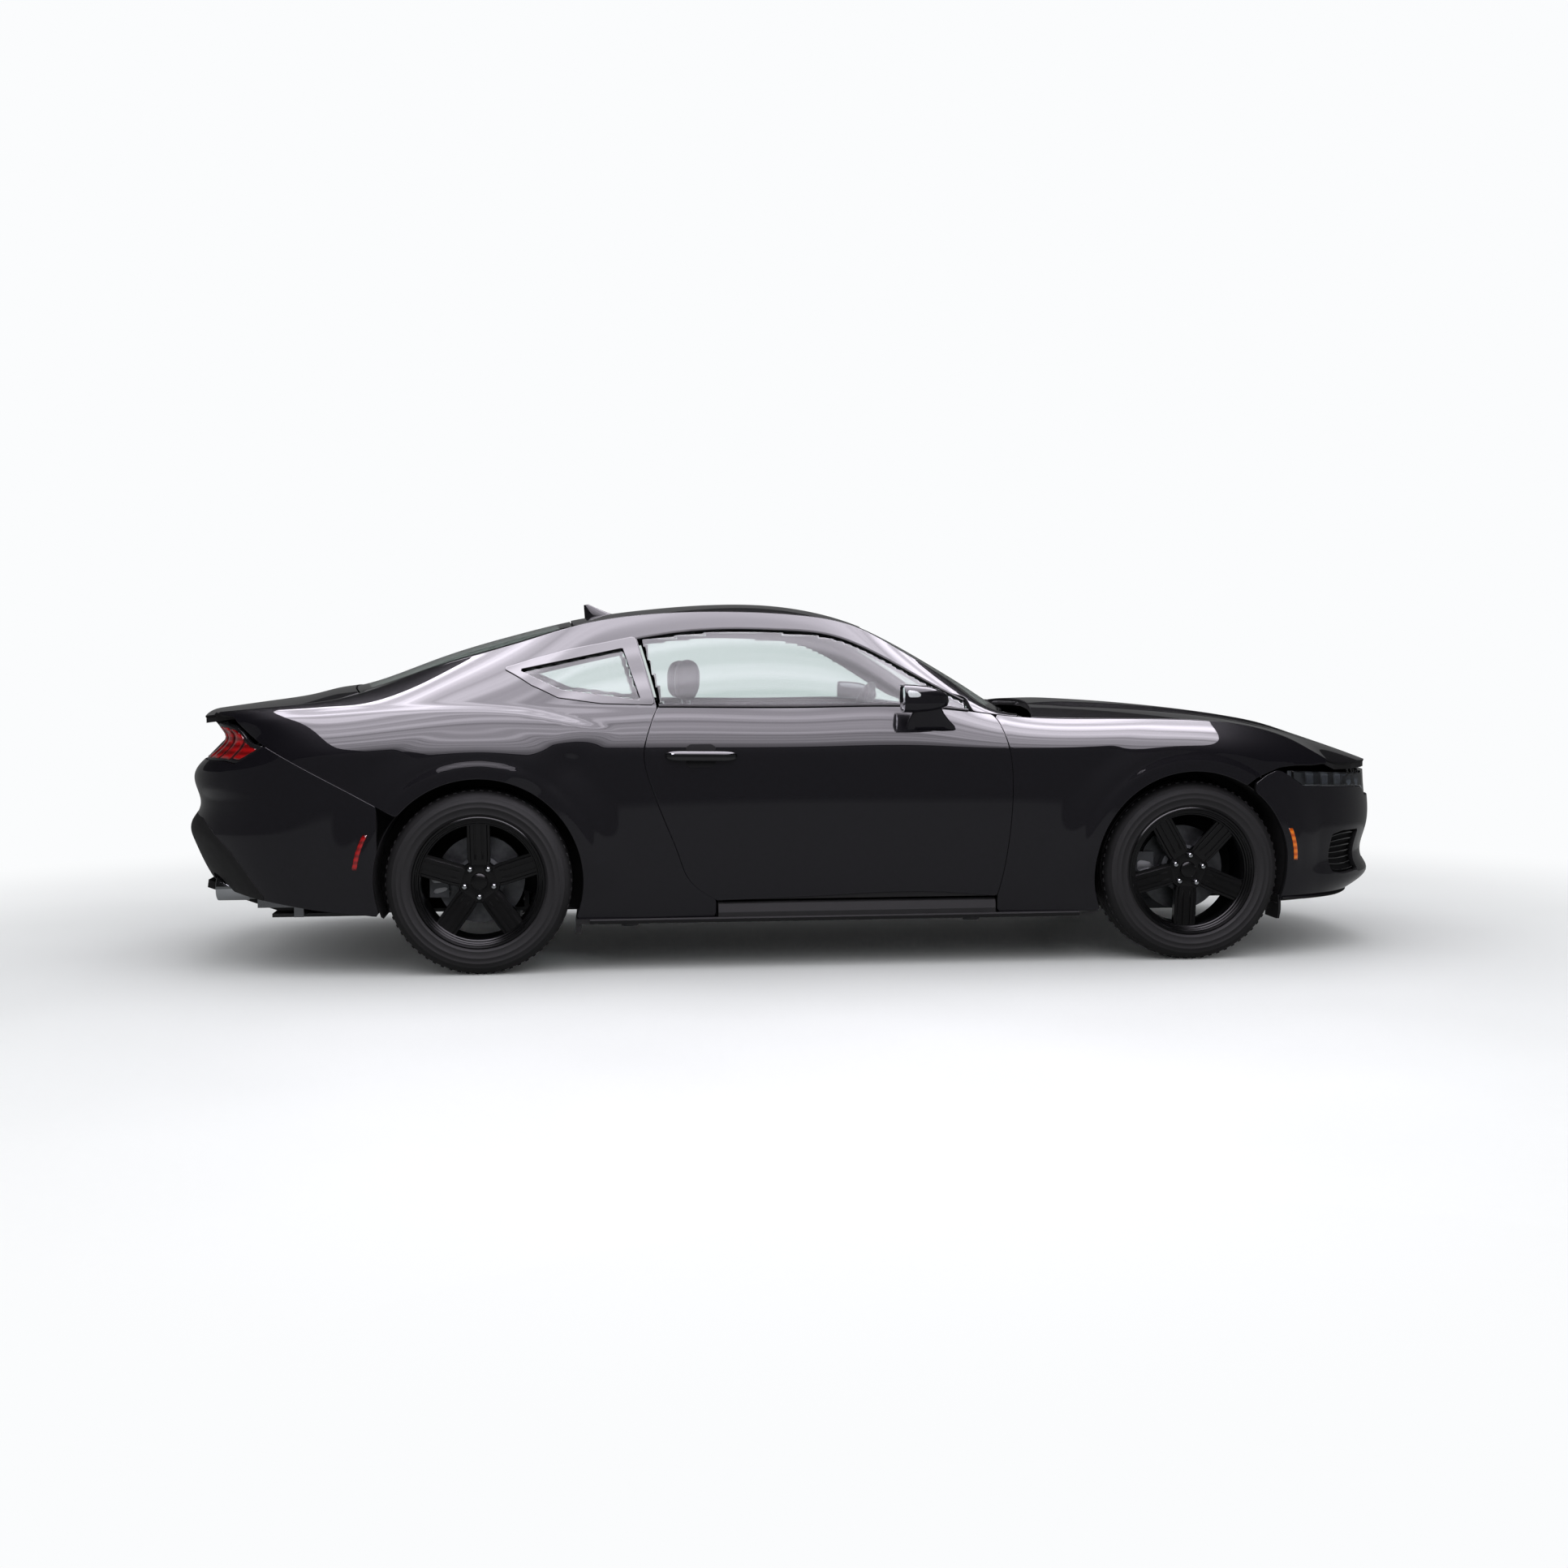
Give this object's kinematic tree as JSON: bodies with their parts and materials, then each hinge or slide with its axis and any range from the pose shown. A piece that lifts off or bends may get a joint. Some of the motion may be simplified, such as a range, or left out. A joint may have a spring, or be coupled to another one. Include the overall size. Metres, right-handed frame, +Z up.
{
  "type": "muscle car",
  "caption": "Two-door fastback coupe with hinged doors, hood and deck lid, steered front wheels on knuckles and freely turning spoked wheels.",
  "frame": {"origin": "on the ground under the middle of the car's length and width", "axes": "+X forward, +Y to the car's left, +Z up"},
  "size_m": [4.811, 2.06, 1.397],
  "materials": {
    "black_paint": "deep gloss clear coat",
    "matte_trim": "fine grained",
    "gloss_black_trim": "gloss",
    "tinted_glass": "clear, lightly tinted",
    "smoked_lens": "smoked clear",
    "red_lens": "moulded lens",
    "underbody": "sealed and painted",
    "dash_plastic": "soft grained",
    "seat_cloth": "woven",
    "cast_metal": "as cast",
    "chassis_steel": "satin black",
    "chrome_steel": "polished",
    "black_alloy": "gloss black",
    "tyre_rubber": "moulded"
  },
  "bodies": {
    "chassis": {"floor_pan": "underbody", "body_sides": "black_paint", "roof_panel": "black_paint", "fenders": "black_paint", "front_bumper": "black_paint", "grille": "gloss_black_trim", "headlamps": "smoked_lens", "tail_lamps": "red_lens", "rear_bumper": "black_paint", "rear_diffuser": "matte_trim", "windshield": "tinted_glass", "rear_window": "tinted_glass", "quarter_windows": "tinted_glass", "side_skirts": "matte_trim", "cowl_panel": "matte_trim", "wipers": "matte_trim", "dashboard": "dash_plastic", "front_seats": "seat_cloth", "rear_seat": "seat_cloth", "engine": "cast_metal", "front_subframe": "chassis_steel", "rear_subframe": "chassis_steel", "exhaust": "chrome_steel", "antenna_fin": "black_paint"},
    "hood": {"hood": "black_paint"},
    "deck_lid": {"deck_lid": "black_paint"},
    "door_left": {"door_left": "black_paint", "door_glass_left": "tinted_glass", "handle_left": "black_paint", "mirror_left": "gloss_black_trim"},
    "door_right": {"door_right": "black_paint", "door_glass_right": "tinted_glass", "handle_right": "black_paint", "mirror_right": "gloss_black_trim"},
    "steering_wheel": {"steering_wheel": "dash_plastic"},
    "knuckle_left": {"knuckle_left": "cast_metal"},
    "knuckle_right": {"knuckle_right": "cast_metal"},
    "wheel_front_left": {"wheel_front_left": "black_alloy", "tyre_front_left": "tyre_rubber"},
    "wheel_front_right": {"wheel_front_right": "black_alloy", "tyre_front_right": "tyre_rubber"},
    "wheel_rear_left": {"wheel_rear_left": "black_alloy", "tyre_rear_left": "tyre_rubber"},
    "wheel_rear_right": {"wheel_rear_right": "black_alloy", "tyre_rear_right": "tyre_rubber"}
  },
  "joints": [
    {"name": "door_left_hinge", "type": "hinge", "parent": "chassis", "child": "door_left", "pos_m": [0.752, 0.952, 0.6], "axis": [0, 0, -1], "range_deg": [0, 65]},
    {"name": "door_right_hinge", "type": "hinge", "parent": "chassis", "child": "door_right", "pos_m": [0.752, -0.952, 0.6], "axis": [0, 0, 1], "range_deg": [0, 65]},
    {"name": "hood_hinge", "type": "hinge", "parent": "chassis", "child": "hood", "pos_m": [0.848, 0, 1.012], "axis": [0, -1, 0], "range_deg": [0, 50]},
    {"name": "deck_lid_hinge", "type": "hinge", "parent": "chassis", "child": "deck_lid", "pos_m": [-1.728, 0, 1.082], "axis": [0, 1, 0], "range_deg": [0, 70]},
    {"name": "steer_left", "type": "hinge", "parent": "chassis", "child": "knuckle_left", "pos_m": [1.4605, 0.784, 0.345], "axis": [0, 0, 1], "range_deg": [-33, 33]},
    {"name": "steer_right", "type": "hinge", "parent": "chassis", "child": "knuckle_right", "pos_m": [1.4605, -0.784, 0.345], "axis": [0, 0, 1], "range_deg": [-33, 33]},
    {"name": "steering_wheel_turn", "type": "hinge", "parent": "chassis", "child": "steering_wheel", "pos_m": [0.33, 0.375, 0.905], "axis": [-0.9135, 0, 0.4067], "range_deg": [-470, 470]},
    {"name": "wheel_front_left_spin", "type": "hinge", "parent": "knuckle_left", "child": "wheel_front_left", "pos_m": [1.4605, 0.794, 0.345], "axis": [0, 1, 0], "continuous": true},
    {"name": "wheel_front_right_spin", "type": "hinge", "parent": "knuckle_right", "child": "wheel_front_right", "pos_m": [1.4605, -0.794, 0.345], "axis": [0, 1, 0], "continuous": true},
    {"name": "wheel_rear_left_spin", "type": "hinge", "parent": "chassis", "child": "wheel_rear_left", "pos_m": [-1.2595, 0.824, 0.345], "axis": [0, 1, 0], "continuous": true},
    {"name": "wheel_rear_right_spin", "type": "hinge", "parent": "chassis", "child": "wheel_rear_right", "pos_m": [-1.2595, -0.824, 0.345], "axis": [0, 1, 0], "continuous": true}
  ],
  "couplings": [
    {"joint": "steer_right", "follows": "steer_left", "ratio": 1},
    {"joint": "steering_wheel_turn", "follows": "steer_left", "ratio": 14}
  ]
}
